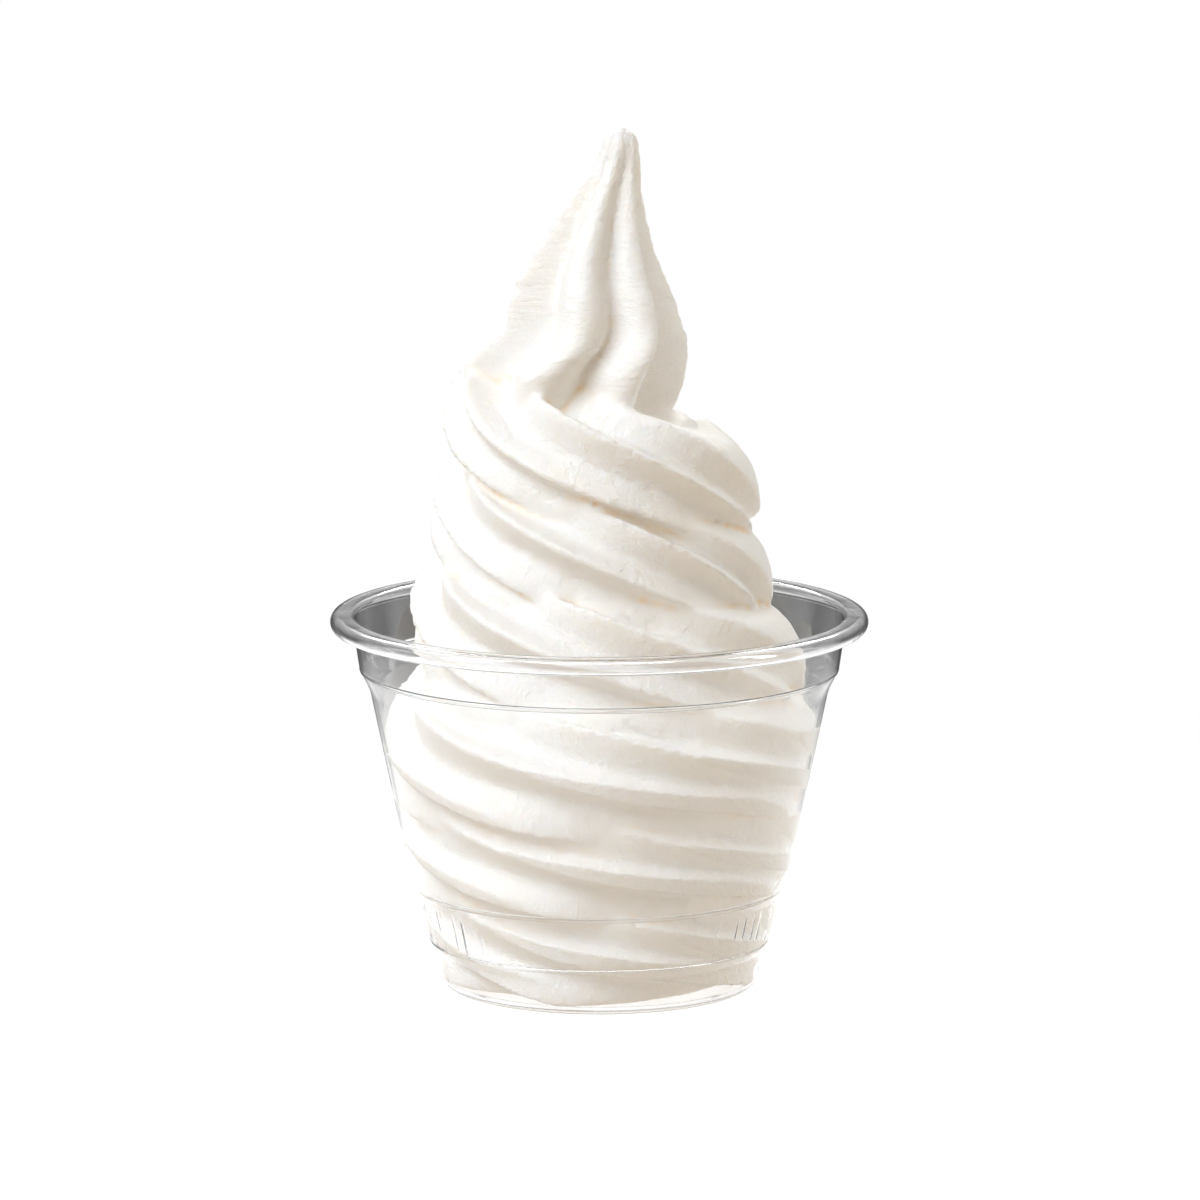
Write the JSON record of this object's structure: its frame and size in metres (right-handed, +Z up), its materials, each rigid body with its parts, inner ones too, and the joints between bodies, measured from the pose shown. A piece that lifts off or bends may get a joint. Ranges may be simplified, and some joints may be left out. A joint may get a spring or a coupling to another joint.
{
  "type": "frozen yogurt cup",
  "caption": "Tall white swirl of frozen yogurt with a leaning peak, piped through a star nozzle into a clear stepped plastic cup with a rolled rim.",
  "frame": {"origin": "middle of the foot that the cup stands on", "axes": "+Z up along the cup's axis, -Y towards the viewer, +X the side that the peak leans to"},
  "size_m": [0.095, 0.095, 0.1527],
  "materials": {
    "clear_plastic": "clear thin sheet, glossy",
    "frozen_yogurt": "smooth soft frozen yogurt, satin, warm white"
  },
  "bodies": {
    "root": {"cup": "clear_plastic", "yogurt_swirl": "frozen_yogurt"}
  },
  "joints": []
}
